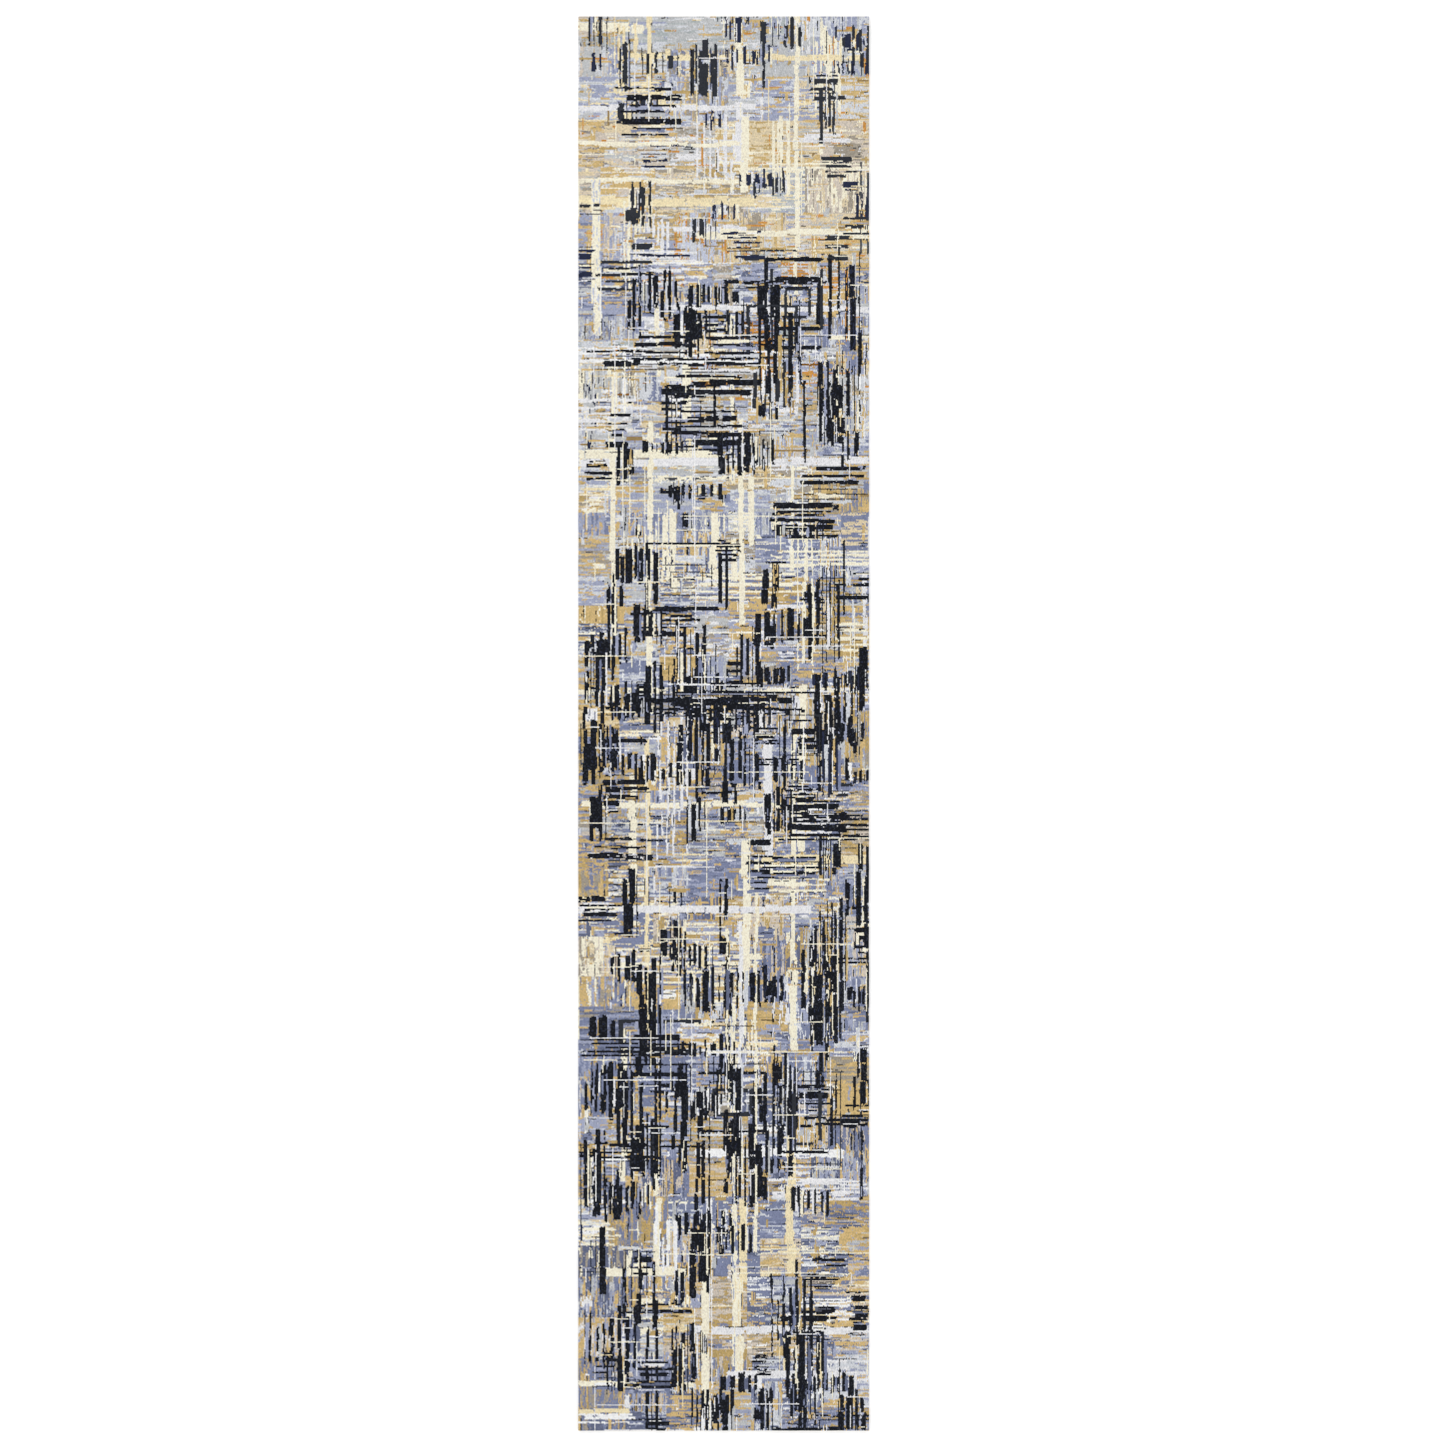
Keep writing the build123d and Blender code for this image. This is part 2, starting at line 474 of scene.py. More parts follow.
class Nodes:
    """A short way to lay out a material's nodes."""

    def __init__(self, name):
        self.mat = bpy.data.materials.new(name)
        self.mat.use_nodes = True
        self.nt = self.mat.node_tree
        self.nt.nodes.clear()
        self.out = self.nt.nodes.new("ShaderNodeOutputMaterial")
        self.bsdf = self.nt.nodes.new("ShaderNodeBsdfPrincipled")
        self.nt.links.new(self.bsdf.outputs[0], self.out.inputs[0])
        co = self.nt.nodes.new("ShaderNodeTexCoord")
        self.object = co.outputs["Object"]

    def new(self, kind, **sets):
        n = self.nt.nodes.new("ShaderNode" + kind)
        for k, v in sets.items():
            setattr(n, k, v)
        return n

    def link(self, a, b):
        self.nt.links.new(a, b)

    def scaled(self, x, y, z):
        m = self.new("Mapping")
        m.inputs["Scale"].default_value = (x, y, z)
        self.link(self.object, m.inputs["Vector"])
        return m.outputs[0]

    def noise(self, vec, scale, detail=2.0, rough=0.5):
        n = self.new("TexNoise")
        n.inputs["Scale"].default_value = scale
        n.inputs["Detail"].default_value = detail
        n.inputs["Roughness"].default_value = rough
        self.link(vec, n.inputs["Vector"])
        return n.outputs["Fac"]

    def math(self, op, a, b=None, c=None):
        n = self.new("Math", operation=op)
        for i, v in enumerate((a, b, c)):
            if v is None:
                continue
            if isinstance(v, (int, float)):
                n.inputs[i].default_value = v
            else:
                self.link(v, n.inputs[i])
        return n.outputs[0]

    def ramp(self, fac, stops):
        n = self.new("ValToRGB")
        el = n.color_ramp.elements
        while len(el) > 1:
            el.remove(el[-1])
        el[0].position = stops[0][0]
        el[0].color = (*stops[0][1], 1)
        for p, c in stops[1:]:
            e = el.new(p)
            e.color = (*c, 1)
        self.link(fac, n.inputs[0])
        return n.outputs[0]

    def bump(self, height, distance, strength=1.0, normal=None):
        n = self.new("Bump")
        n.inputs["Distance"].default_value = distance
        n.inputs["Strength"].default_value = strength
        self.link(height, n.inputs["Height"])
        if normal is not None:
            self.link(normal, n.inputs["Normal"])
        return n.outputs[0]

    def finish(self, rough, sheen=0.0, sheen_rough=0.5, tint=(1, 1, 1), spec=0.2):
        b = self.bsdf
        b.inputs["Roughness"].default_value = rough
        b.inputs["Specular IOR Level"].default_value = spec
        b.inputs["Sheen Weight"].default_value = sheen
        b.inputs["Sheen Roughness"].default_value = sheen_rough
        b.inputs["Sheen Tint"].default_value = (*tint, 1)
        return self.mat


def shade(c, k, warm=0.0):
    return [
        min(max(c[0] * k * (1 + warm), 0), 0.98),
        min(max(c[1] * k, 0), 0.98),
        min(max(c[2] * k * (1 - warm), 0), 0.98),
    ]


def yarn_material(name, rgb):
    """Cut pile: each knot takes the dye a little differently, rows drift in tone, broad patches carry wear and painted
    shade where the pile leans, and the fibres part into fine flecks.
    """
    m = Nodes(name)
    c = srgb(rgb)
    snap = m.new("VectorMath", operation="SNAP")
    snap.inputs[1].default_value = (PX, PY, 1.0)
    shift = m.new("VectorMath", operation="ADD")
    shift.inputs[1].default_value = (HALF_W + 1e-5, HALF_L + 1e-5, 0)
    m.link(m.object, shift.inputs[0])
    inside = m.new("VectorMath", operation="MAXIMUM")
    inside.inputs[1].default_value = (PX / 2, PY / 2, 0)
    m.link(shift.outputs[0], inside.inputs[0])
    within = m.new("VectorMath", operation="MINIMUM")
    within.inputs[1].default_value = (WIDTH - PX / 2, LENGTH - PY / 2, 0.5)
    m.link(inside.outputs[0], within.inputs[0])
    m.link(within.outputs[0], snap.inputs[0])
    white = m.new("TexWhiteNoise", noise_dimensions="3D")
    m.link(snap.outputs[0], white.inputs["Vector"])
    rows = m.noise(m.scaled(1.2, 90, 1), 1.6, 3, 0.6)      # dye lots, along the rows
    wear_and_lie_shade = m.noise(m.object, 14, 3, 0.55)                  # wear, and painted shade where the pile leans
    fibre = m.noise(m.scaled(1, 1, 0.16), 3600, 3, 0.75)    # single fibres, standing up
    t = m.math("MULTIPLY_ADD", white.outputs["Value"], 0.32, 0.0)
    t = m.math("MULTIPLY_ADD", rows, 0.22, t)
    t = m.math("MULTIPLY_ADD", wear_and_lie_shade, 0.18, t)
    t = m.math("MULTIPLY_ADD", fibre, 0.28, t)
    col = m.ramp(
        t,
        [
            (0.20, shade(c, 0.62, -0.01)),
            (0.42, shade(c, 0.93, 0.0)),
            (0.58, shade(c, 1.08, 0.01)),
            (0.82, shade(c, 1.36, 0.02)),
        ],
    )
    m.link(col, m.bsdf.inputs["Base Color"])
    m.link(m.bump(fibre, 0.0005, 0.7), m.bsdf.inputs["Normal"])
    return m.finish(0.95, sheen=SHEEN, sheen_rough=0.45, spec=0.05)


def twisted_material(name, rgb, pitch, angle, dark=0.7):
    """Plied cord: strands that run round the cord, with a fibre fleck; the colour is painted darker in the grooves
    between strands and lighter on their crests, as painted shade.
    """
    m = Nodes(name)
    c = srgb(rgb)
    w = m.new("TexWave", wave_type="BANDS", bands_direction="DIAGONAL")
    w.inputs["Scale"].default_value = 1 / pitch
    w.inputs["Distortion"].default_value = 1.5
    w.inputs["Detail"].default_value = 1
    m.link(m.scaled(*angle), w.inputs["Vector"])
    fleck = m.noise(m.object, 1500, 2, 0.6)
    t = m.math("MULTIPLY_ADD", w.outputs["Fac"], 0.6, m.math("MULTIPLY", fleck, 0.4))
    # painted shade: the colour follows the strands' height, darker in the grooves, lighter on the crests
    m.link(
        m.ramp(t, [(0.1, shade(c, dark)), (0.55, c), (0.9, shade(c, 1.12))]),
        m.bsdf.inputs["Base Color"],
    )
    m.link(m.bump(t, 0.0004, 0.5), m.bsdf.inputs["Normal"])
    return m.finish(0.88, sheen=0.15, sheen_rough=0.5, spec=0.15)


def woven_material(name, rgb, warp, weft, dark=0.62):
    """Plain weave in undyed cotton: over and under, with slubs, and painted shade that darkens the gaps where the
    threads dip under.
    """
    m = Nodes(name)
    c = srgb(rgb)
    a = m.new("TexWave", wave_type="BANDS", bands_direction="X")
    a.inputs["Scale"].default_value = math.pi / (10 * warp)
    m.link(m.object, a.inputs["Vector"])
    b = m.new("TexWave", wave_type="BANDS", bands_direction="Y")
    b.inputs["Scale"].default_value = math.pi / (10 * weft)
    m.link(m.object, b.inputs["Vector"])
    cross = m.math("MULTIPLY", a.outputs["Fac"], b.outputs["Fac"])
    slub = m.noise(m.scaled(60, 900, 900), 1, 3, 0.6)
    fleck = m.noise(m.object, 1400, 2, 0.6)
    t = m.math("MULTIPLY_ADD", cross, 0.45, m.math("MULTIPLY", slub, 0.35))
    t = m.math("MULTIPLY_ADD", fleck, 0.2, t)
    # painted shade: darker where the threads dip, lighter where they lie on top
    m.link(
        m.ramp(t, [(0.15, shade(c, dark)), (0.5, c), (0.85, shade(c, 1.12))]),
        m.bsdf.inputs["Base Color"],
    )
    m.link(m.bump(t, 0.0005, 0.6), m.bsdf.inputs["Normal"])
    return m.finish(0.9, sheen=0.1, sheen_rough=0.5, spec=0.15)


SHEEN = 0.05

# ---------------------------------------------------------------- pile, one piece per yarn
rng = np.random.RandomState(11)


def smooth_field(shape, step, seed):
    r = np.random.RandomState(seed)
    small = r.normal(size=(shape[0] // step + 3, shape[1] // step + 3))
    yy = np.arange(shape[0])[:, None] / step
    xx = np.arange(shape[1])[None, :] / step
    y0, x0 = yy.astype(int), xx.astype(int)
    fy, fx = yy - y0, xx - x0
    fy, fx = fy * fy * (3 - 2 * fy), fx * fx * (3 - 2 * fx)
    return (
        small[y0, x0] * (1 - fy) * (1 - fx)
        + small[y0 + 1, x0] * fy * (1 - fx)
        + small[y0, x0 + 1] * (1 - fy) * fx
        + small[y0 + 1, x0 + 1] * fy * fx
    )


cj, ci = np.mgrid[0 : ROWS + 1, 0 : COLS + 1]
corner = np.zeros((ROWS + 1, COLS + 1, 3))
corner[..., 0] = -HALF_W + ci * PX
corner[..., 1] = HALF_L - cj * PY
inner = np.ones(corner.shape[:2])
inner[0], inner[-1], inner[:, 0], inner[:, -1] = 0, 0, 0, 0
corner[..., 0] += inner * rng.normal(0, 0.24 * MM, inner.shape)
corner[..., 1] += inner * rng.normal(0, 0.24 * MM, inner.shape)
# the outline waves by a fraction of a millimetre, inwards
wave = np.abs(smooth_field((ROWS + 1, 1), 23, 3))[:, 0] * 0.5 * MM
corner[:, 0, 0] += wave
corner[:, -1, 0] -= np.roll(wave, 400)
wave = np.abs(smooth_field((1, COLS + 1), 19, 4))[0] * 0.4 * MM
corner[0, :, 1] -= wave
corner[-1, :, 1] += np.roll(wave, 90)
roll_edge = np.minimum(np.minimum(ci, COLS - ci), np.minimum(cj, ROWS - cj))
shape_z = smooth_field((ROWS + 1, COLS + 1), 16, 5) * 0.14 * MM
valley = TOP_Z - 1.20 * MM + shape_z + rng.normal(0, 0.16 * MM, shape_z.shape)
valley -= np.where(roll_edge == 0, 1.5 * MM, 0) + np.where(roll_edge == 1, 0.35 * MM, 0)
corner[..., 2] = valley + lift(corner[..., 1])

# each knot ends in two cut tips, left and right, with a dip between them
kj, ki = np.mgrid[0:ROWS, 0:COLS]
kedge = np.minimum(np.minimum(ki, COLS - 1 - ki), np.minimum(kj, ROWS - 1 - kj))


def tip(place, low):
    p = np.zeros((ROWS, COLS, 3))
    p[..., 0] = -HALF_W + (ki + place) * PX + rng.normal(0, 0.13 * MM, kj.shape)
    p[..., 1] = HALF_L - (kj + 0.5) * PY + rng.normal(0, 0.24 * MM, kj.shape)
    p[..., 2] = (
        TOP_Z
        - low
        + shape_z[:-1, :-1]
        + np.clip(rng.normal(0, 0.20 * MM, kj.shape), -0.5 * MM, 0.3 * MM)
        - np.where(kedge == 0, 0.55 * MM, 0)
        + lift(p[..., 1])
    )
    return p


left_tip, dip, right_tip = tip(0.25, 0.08 * MM), tip(0.5, 0.62 * MM), tip(0.75, 0.08 * MM)


def pile_piece(code, cells):
    """Tufts, the knots' backs and, on the rug's edge, the outer side of the pile."""
    j, i = cells
    stride = COLS + 1
    ids = np.stack(
        [
            j * stride + i,
            j * stride + i + 1,
            (j + 1) * stride + i + 1,
            (j + 1) * stride + i,
        ],
        1,
    )
    uniq, inv = np.unique(ids.ravel(), return_inverse=True)
    inv = inv.reshape(-1, 4)
    flat_corner = corner.reshape(-1, 3)
    co = [flat_corner[uniq], left_tip[j, i], dip[j, i], right_tip[j, i]]
    a = len(uniq) + np.arange(len(j))
    m, b = a + len(j), a + 2 * len(j)
    nw, ne, se, sw = inv.T
    # wound anticlockwise, seen from above
    tris = np.stack(
        [
            np.stack(t, 1)
            for t in (
                (a, nw, sw), (nw, a, m), (nw, m, ne), (m, b, ne),
                (b, se, ne), (sw, m, a), (sw, se, m), (m, se, b),
            )
        ],
        1,
    )
    up = (j < ROWS // 2).astype(float)
    loops = [tris.reshape(-1, 3)]
    sizes = [np.full(len(j) * 8, 3)]
    pts = np.concatenate(co)
    uv = [flat_uv(pts[tris.reshape(-1, 3)], np.repeat(up, 8)[:, None]).reshape(-1, 2)]
    # knot backs: the collar of each knot, seen on the underside between the wefts
    cx, cy = -HALF_W + (i + 0.5) * PX, HALF_L - (j + 0.5) * PY
    keep = np.abs(cx) < FOUND_HALF_W - 0.6 * MM
    bx, by, bup = cx[keep], cy[keep], up[keep]
    n = len(bx)
    jit = np.random.RandomState(CODE_OF[code] + 50).normal(0, 0.12 * MM, (n, 2))
    bx, by = bx + jit[:, 0], by + jit[:, 1]
    hw, hl = PX * 0.44, PY * 0.33
    quad = np.zeros((n, 4, 3))
    for k, (sx, sy) in enumerate(((-1, 1), (1, 1), (1, -1), (-1, -1))):
        quad[:, k, 0] = bx + sx * hw
        quad[:, k, 1] = np.clip(by + sy * hl, 0.9 * MM - HALF_L, HALF_L - 0.9 * MM)
    quad[..., 2] = 0.06 * MM + lift(quad[..., 1])
    b0 = len(pts)
    co.append(quad.reshape(-1, 3))
    q = b0 + np.arange(n * 4).reshape(-1, 4)
    loops.append(q)
    sizes.append(np.full(n, 4))
    uv.append(flat_uv(quad, bup[:, None]).reshape(-1, 2))
    # outer side of the pile
    base = b0 + n * 4
    for side in range(4):
        if side == 0:
            sel = i == 0
        elif side == 1:
            sel = i == COLS - 1
        elif side == 2:
            sel = j == 0
        else:
            sel = j == ROWS - 1
        js, is_ = j[sel], i[sel]
        if not len(js):
            continue
        if side == 0:
            a, b = corner[js, is_], corner[js + 1, is_]
            out = np.array([-1.0, 0, 0])
        elif side == 1:
            a, b = corner[js + 1, is_ + 1], corner[js, is_ + 1]
            out = np.array([1.0, 0, 0])
        elif side == 2:
            a, b = corner[js, is_ + 1], corner[js, is_]
            out = np.array([0, 1.0, 0])
        else:
            a, b = corner[js + 1, is_], corner[js + 1, is_ + 1]
            out = np.array([0, -1.0, 0])
        across, up_n = 5, 5
        n = len(js)
        wall = np.zeros((n, up_n, across, 3))
        floor_z = BACK_Z - 0.25 * MM
        for u in range(up_n):
            f = u / (up_n - 1)
            for s in range(across):
                g = s / (across - 1)
                p = a * (1 - g) + b * g
                top = p[:, 2]
                foot = floor_z + lift(p[:, 1])
                tuft = 0.30 * MM * math.sin(math.pi * g) * (0.4 + 0.6 * f)
                belly = 0.55 * MM * math.sin(math.pi * min(f * 1.15, 1.0)) - 0.15 * MM
                push = tuft + belly * (0.3 if u == up_n - 1 else 1.0)
                if u == up_n - 1:
                    push = 0.0
                wall[:, u, s] = p + out * push
                wall[:, u, s, 2] = foot + (top - foot) * f
        co.append(wall.reshape(-1, 3))
        f = grid_faces(up_n, across)
        fl = (base + (np.arange(n) * up_n * across)[:, None, None] + f[None]).reshape(-1, 4)
        loops.append(fl)
        sizes.append(np.full(len(fl), 4))
        ups = np.repeat(up[sel], len(f))
        wuv = flat_uv(wall.reshape(-1, 3)[(fl - base).ravel()].reshape(-1, 4, 3), ups[:, None])
        uv.append(wuv.reshape(-1, 2))
        base += n * up_n * across
    flat = np.concatenate([x.ravel() for x in loops])
    ob = make_object(
        f"pile_{YARNS[code][0]}", np.concatenate(co), flat, np.concatenate(sizes), np.concatenate(uv)
    )
    ob.data.materials.append(yarn_material(f"wool_{YARNS[code][0]}", YARNS[code][1]))
    return ob


pile = []
for code in CODES:
    cells = np.nonzero(GRID == CODE_OF[code])
    if len(cells[0]):
        pile.append(pile_piece(code, cells))
for ob in pile:
    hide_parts("pile_field")
    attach(ob, "root")

# ---------------------------------------------------------------- foundation, seen from below
COTTON = (214, 205, 186)


def foundation():
    rows = ROWS * 2 - 1
    y = np.linspace(-FOUND_HALF_L, FOUND_HALF_L, rows)
    xs = np.linspace(-FOUND_HALF_W, FOUND_HALF_W, 13)
    low = np.where(np.arange(rows) % 2 == 0, 0.20 * MM, 0.62 * MM) + lift(y)
    high = BACK_Z + lift(y)
    ring = []
    for i in range(rows):
        a = np.stack([xs, np.full_like(xs, y[i]), np.full_like(xs, low[i])], 1)
        b = np.stack([xs[::-1], np.full_like(xs, y[i]), np.full_like(xs, high[i])], 1)
        ring.append(np.concatenate([a, b]))
    co = np.stack(ring)
    m = co.shape[1]
    f = grid_faces(rows, m, wrap_m=True)[:, ::-1]
    caps = [np.arange(m), (rows - 1) * m + np.arange(m)[::-1]]
    pts = co.reshape(-1, 3)
    loops = np.concatenate([f.ravel(), *caps])
    sizes = np.concatenate([np.full(len(f), 4), [m, m]])
    up = (pts[:, 1] > 0).astype(float)
    fu = np.repeat(up[f[:, 0]], 4)
    uv = np.concatenate(
        [
            flat_uv(pts[f.ravel()], fu),
            flat_uv(pts[caps[0]], np.zeros(m)),
            flat_uv(pts[caps[1]], np.ones(m)),
        ]
    )
    return make_object("foundation_canvas", pts, loops, sizes, uv)


canvas = foundation()
canvas.data.materials.append(woven_material("foundation_cotton", COTTON, PX, PY / 2))
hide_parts("foundation_weave")
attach(canvas, "root")

# ---------------------------------------------------------------- side cords
WOOL_EDGE = (178, 176, 178)


def overcast(name, side):
    """Wool wrapped round and round the edge cord, each turn a ridge."""
    n = 7174  # three rings to a turn
    k = 12
    y = np.linspace(-FOUND_HALF_L, FOUND_HALF_L, n)
    ang = np.linspace(0, 2 * math.pi, k, endpoint=False)
    turn = 1.55 * MM
    phase = (y[:, None] / turn) * 2 * math.pi + ang[None] * 1.0
    tight = 0.05 * MM * np.sin(y * 37)[:, None]
    rad = 1.5 * MM - 0.34 * MM * (1 - np.abs(np.cos(phase / 2)) ** 0.8) - np.abs(tight)
    co = np.zeros((n, k, 3))
    co[..., 0] = side * 379.5 * MM + rad * np.cos(ang)[None]
    co[..., 1] = y[:, None]
    co[..., 2] = 1.5 * MM + lift(y)[:, None] + rad * np.sin(ang)[None]
    pts = co.reshape(-1, 3)
    f = grid_faces(n, k, wrap_m=True)
    caps = [np.arange(k)[::-1], (n - 1) * k + np.arange(k)]
    loops = np.concatenate([f.ravel(), *caps])
    sizes = np.concatenate([np.full(len(f), 4), [k, k]])
    ring = np.repeat(np.arange(n - 1), k)
    col = np.tile(np.arange(k), n - 1)
    strips = 24
    per = math.ceil((n - 1) / strips)
    s = ring // per
    v0 = (ring % per) / per
    v1 = (ring % per + 1) / per
    u0 = (s + col / k * 0.92 + 0.04) / strips
    u1 = (s + (col + 1) / k * 0.92 + 0.04) / strips
    uv = np.stack(
        [np.stack([u0, v0], 1), np.stack([u1, v0], 1), np.stack([u1, v1], 1), np.stack([u0, v1], 1)], 1
    ).reshape(-1, 2)
    uv = np.concatenate([uv * 0.98 + 0.01, np.full((2 * k, 2), 0.5)])
    ob = make_object(name, pts, loops, sizes, uv)
    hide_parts(name.replace("wrap", "overcast"))
    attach(ob, "root")
    return ob


edge_mat = twisted_material("overcast_wool", WOOL_EDGE, 0.9, (900, 160, 900), 0.5)
wraps = [overcast("selvedge_wrap_left", -1), overcast("selvedge_wrap_right", 1)]
for ob in wraps:
    ob.data.materials.append(edge_mat)
core_mat = twisted_material("cord_cotton", (206, 197, 178), 1.4, (700, 260, 700))
for side in ("left", "right"):
    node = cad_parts[f"selvedge_core_{side}"]
    node.data.materials.clear()
    node.data.materials.append(core_mat)

# ---------------------------------------------------------------- end strips, turned under
kilim_mat = woven_material("kilim_cotton", (205, 196, 176), 2.6 * MM, 1.1 * MM)


def kilim(name, side):
    """Weft-faced end strip: up the rug's end, round the fold and back under, with a rib at every weft and a dimple at every warp."""
    r = 0.9 * MM
    y_out = HALF_L - 0.02 * MM
    path = []
    n_up, n_arc, n_flat = 9, 7, 72
    for t in np.linspace(0, 1, n_up, endpoint=False):
        path.append((y_out, 4.2 * MM + (r - 4.2 * MM) * t, 1.0, 0.0))
    for t in np.linspace(0, math.pi / 2, n_arc, endpoint=False):
        path.append((y_out - r + r * math.cos(t), r - r * math.sin(t), math.cos(t), -math.sin(t)))
    for t in np.linspace(0, 1, n_flat):
        path.append((y_out - r - (KILIM_LEN - r - 0.02 * MM) * t, 0.0, 0.0, -1.0))
    path = np.array(path)
    n = len(path)
    m = COLS * 2 + 1
    xs = np.linspace(-HALF_W + 0.1 * MM, HALF_W - 0.1 * MM, m)
    warp = np.where(np.arange(m) % 2 == 0, 0.0, 1.0)
    rib = np.where(np.arange(n) % 2 == 0, 0.0, 1.0)
    dent = 0.10 * MM * rib[:, None] + 0.07 * MM * ((np.arange(n) // 2)[:, None] % 2 == warp[None]).astype(float)
    outer = np.zeros((n, m, 3))
    outer[..., 0] = xs[None]
    outer[..., 1] = side * (path[:, 0:1] - dent * path[:, 2:3])
    outer[..., 2] = path[:, 1:2] - dent * path[:, 3:4]
    back = KILIM_T - 0.02 * MM
    inner = np.zeros((n, m, 3))
    inner[..., 0] = xs[None]
    iy = path[:, 0] - back * np.where(path[:, 2] > 0, 1.0, 0.0)
    iz = np.where(path[:, 2] > 0, np.maximum(path[:, 1], back), back)
    iy = np.where(path[:, 2] > 0, y_out - back, np.minimum(path[:, 0], y_out - back))
    inner[..., 1] = side * iy[:, None]
    inner[..., 2] = iz[:, None]
    co = np.concatenate([outer, inner[::-1]], 0)
    co = np.concatenate([co, co[:1]], 0)[:-1]
    rows = 2 * n
    i, j = np.mgrid[0:rows, 0 : m - 1]
    k = (i + 1) % rows
    f = np.stack([i * m + j, i * m + j + 1, k * m + j + 1, k * m + j], -1).reshape(-1, 4)
    if side > 0:
        f = f[:, ::-1]
    pts = co.reshape(-1, 3)
    cap0 = np.arange(rows) * m
    cap1 = np.arange(rows) * m + m - 1
    if side > 0:
        caps = [cap0, cap1[::-1]]
    else:
        caps = [cap0[::-1], cap1]
    # side caps as quads between the outer and inner rows
    q = []
    for e, flip in ((0, side > 0), (m - 1, side < 0)):
        for a in range(n - 1):
            o0, o1 = a * m + e, (a + 1) * m + e
            i0, i1 = (rows - 1 - a) * m + e, (rows - 2 - a) * m + e
            face = [o0, i0, i1, o1] if flip else [o0, o1, i1, i0]
            q.append(face)
    q = np.array(q)
    loops = np.concatenate([f.ravel(), q.ravel()])
    sizes = np.full(len(f) + len(q), 4)
    bands = 12
    px = (pts[:, 0] + HALF_W) / WIDTH
    arc = np.concatenate([np.arange(n), np.arange(n)[::-1]]) / (n - 1)
    arc_v = np.repeat(arc, m)
    all_f = np.concatenate([f, q])
    x0 = px[all_f].min(1)
    band = np.clip((x0 * bands).astype(int), 0, bands - 1)
    u = np.clip((px[all_f] * bands - band[:, None]), 0, 1) * 0.98 + 0.01
    v = (band[:, None] + 0.04 + 0.92 * arc_v[all_f]) / bands
    uv = np.stack([u, v], -1).reshape(-1, 2)
    ob = make_object(name, pts, loops, sizes, uv)
    ob.data.materials.append(kilim_mat)
    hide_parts(name.replace("strip", "kilim"))
    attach(ob, "root")
    return ob


strips = [kilim("end_strip_foot", -1), kilim("end_strip_head", 1)]

# ---------------------------------------------------------------- lock row and stitches
thread_mat = twisted_material("stitch_thread", (226, 218, 200), 0.5, (1600, 1600, 1600), 0.75)
lock_mat = twisted_material("lock_cord", (198, 189, 170), 0.5, (1400, 1400, 1400), 0.7)


def tube(route, radius, sides):
    """A round thread along a route of points, as one closed tube."""
    route = np.asarray(route, float)
    n = len(route)
    t = np.gradient(route, axis=0)
    t /= np.linalg.norm(t, axis=1)[:, None]
    ref = np.tile([0.0, 0.0, 1.0], (n, 1))
    ref[np.abs(t[:, 2]) > 0.9] = (1.0, 0.0, 0.0)
    a = np.cross(t, ref)
    a /= np.linalg.norm(a, axis=1)[:, None]
    b = np.cross(t, a)
    ang = np.linspace(0, 2 * math.pi, sides, endpoint=False)
    co = route[:, None] + radius * (
        np.cos(ang)[None, :, None] * a[:, None] + np.sin(ang)[None, :, None] * b[:, None]
    )
    f = grid_faces(n, sides, wrap_m=True)
    caps = np.stack([np.arange(sides)[::-1], (n - 1) * sides + np.arange(sides)])
    return co.reshape(-1, 3), f, caps


def join(name, tubes, sides, mat, node):
    co, loops, sizes, base = [], [], [], 0
    for c, f, caps in tubes:
        co.append(c)
        loops += [(f + base).ravel(), (caps + base).ravel()]
        sizes += [np.full(len(f), 4), np.full(2, sides)]
        base += len(c)
    co = np.concatenate(co)
    flat = np.concatenate(loops)
    px = (co[:, 0] + HALF_W) / WIDTH
    bands = 8
    u = (px * bands) % 1.0
    v = ((px * bands).astype(int) + np.clip((np.abs(co[:, 1]) - 1.806) / 0.01, 0, 1)) / bands
    uv = np.stack([u, v], 1)[flat]
    ob = make_object(name, co, flat, np.concatenate(sizes), uv)
    ob.data.materials.append(mat)
    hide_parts(node)
    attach(ob, "root")
    return ob


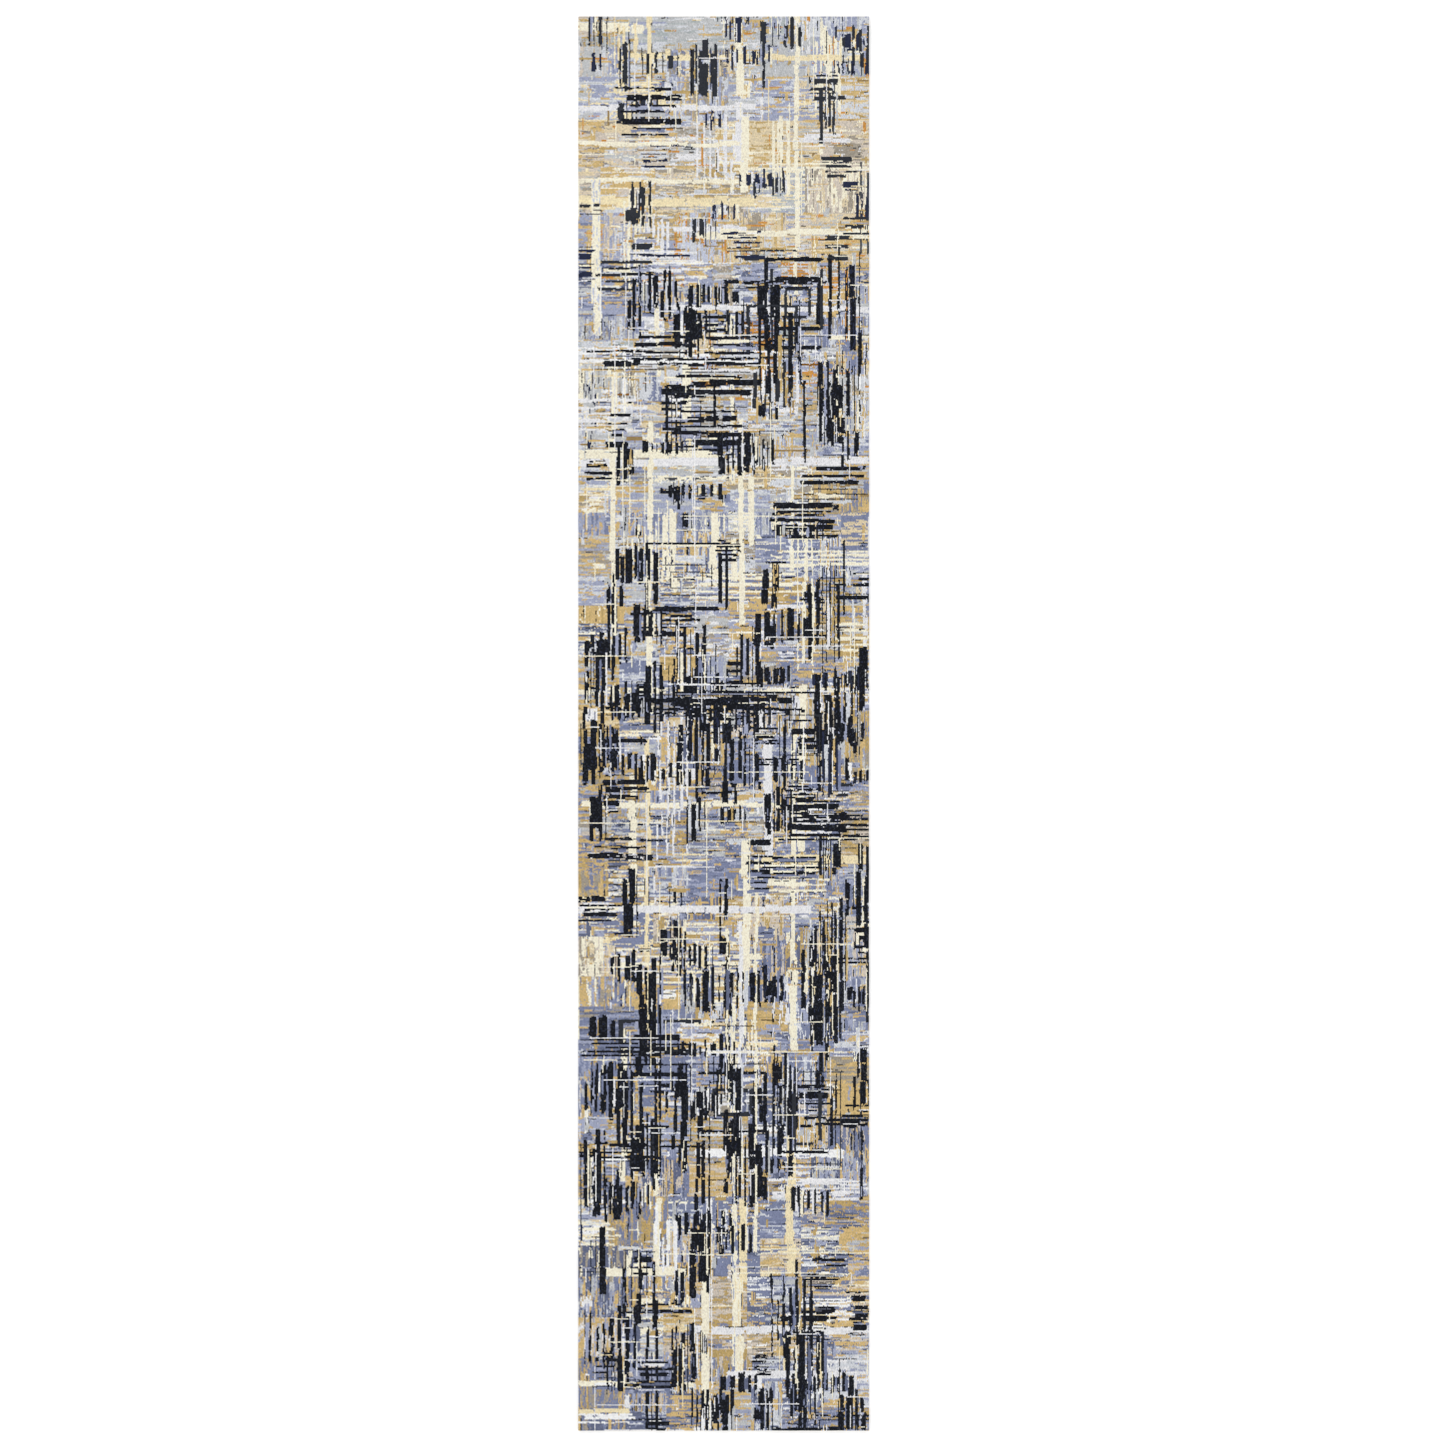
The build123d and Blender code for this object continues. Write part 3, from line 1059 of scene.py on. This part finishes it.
for name, side in (("foot", -1), ("head", 1)):
    y0 = side * (HALF_L - KILIM_LEN - 0.31 * MM)
    x = np.arange(-HALF_W + 3 * MM, HALF_W - 3 * MM, 0.45 * MM)
    plies = []
    for ph in (0, math.pi):
        w = x / (2.4 * MM) * 2 * math.pi + ph
        route = np.stack([x, y0 + 0.15 * MM * np.cos(w), 0.89 * MM + 0.15 * MM * np.sin(w)], 1)
        plies.append(tube(route, 0.16 * MM, 6))
    join(f"lock_twist_{name}", plies, 6, lock_mat, f"end_lock_row_{name}")
    r = np.random.RandomState(90 + side)
    stitches = []
    xx = -HALF_W + 9 * MM
    while xx <= HALF_W - 9 * MM + 1e-5:
        d = r.normal(0, 0.15 * MM)
        e = HALF_L - KILIM_LEN
        pts = []
        for t in np.linspace(0, 1, 14):
            yy = e - 5.15 * MM * t
            zz = 0.28 * MM + (0.9 * MM) * max(0.0, (t - 0.86) / 0.14) ** 1.5
            pts.append((xx + d * (t - 0.5), side * yy, zz))
        stitches.append(tube(pts, 0.23 * MM, 8))
        xx += 12 * MM
    join(f"hem_thread_{name}", stitches, 8, thread_mat, f"hem_stitches_{name}")

# ---------------------------------------------------------------- stage, light, camera
floor_me = bpy.data.meshes.new("floor")
s = 45.0
floor_me.from_pydata([(-s, -s, -0.0004), (s, -s, -0.0004), (s, s, -0.0004), (-s, s, -0.0004)], [], [(0, 1, 2, 3)])
floor = bpy.data.objects.new("floor", floor_me)
bpy.context.scene.collection.objects.link(floor)
fm = Nodes("floor")
fm.bsdf.inputs["Base Color"].default_value = (0.94, 0.94, 0.94, 1)
fm.bsdf.inputs["Emission Color"].default_value = (1, 1, 1, 1)
fm.bsdf.inputs["Emission Strength"].default_value = 0.14
floor_me.materials.append(fm.finish(0.9, spec=0.0))

world = bpy.data.worlds.new("studio")
world.use_nodes = True
bg = world.node_tree.nodes["Background"]
bg.inputs[0].default_value = (1, 1, 1, 1)
bg.inputs[1].default_value = WORLD
bpy.context.scene.world = world


def area(name, at, to, size, power):
    light = bpy.data.lights.new(name, "AREA")
    light.shape = "SQUARE"
    light.size = size
    light.energy = power
    ob = bpy.data.objects.new(name, light)
    bpy.context.scene.collection.objects.link(ob)
    ob.location = at
    ob.rotation_mode = "QUATERNION"
    ob.rotation_quaternion = (Vector(to) - Vector(at)).to_track_quat("-Z", "Y")
    return ob


area("key", (-3.2, 3.0, 5.2), (0, 0, 0), 3.5, KEY)
area("fill", (3.6, -2.6, 4.6), (0, 0, 0), 4.5, FILL)

cam_data = bpy.data.cameras.new("camera")
cam_data.type = "ORTHO"
cam_data.ortho_scale = 1445 * PER_PX
cam_data.clip_start, cam_data.clip_end = 0.1, 60
cam = bpy.data.objects.new("camera", cam_data)
bpy.context.scene.collection.objects.link(cam)
cam.location = (-1.2 * PER_PX, 1.05 * PER_PX, 6)
cam.rotation_euler = (0, 0, 0)
bpy.context.scene.camera = cam

vs = bpy.context.scene.view_settings
vs.view_transform = "Standard"
vs.look = "None"
vs.exposure = 0
vs.gamma = 1
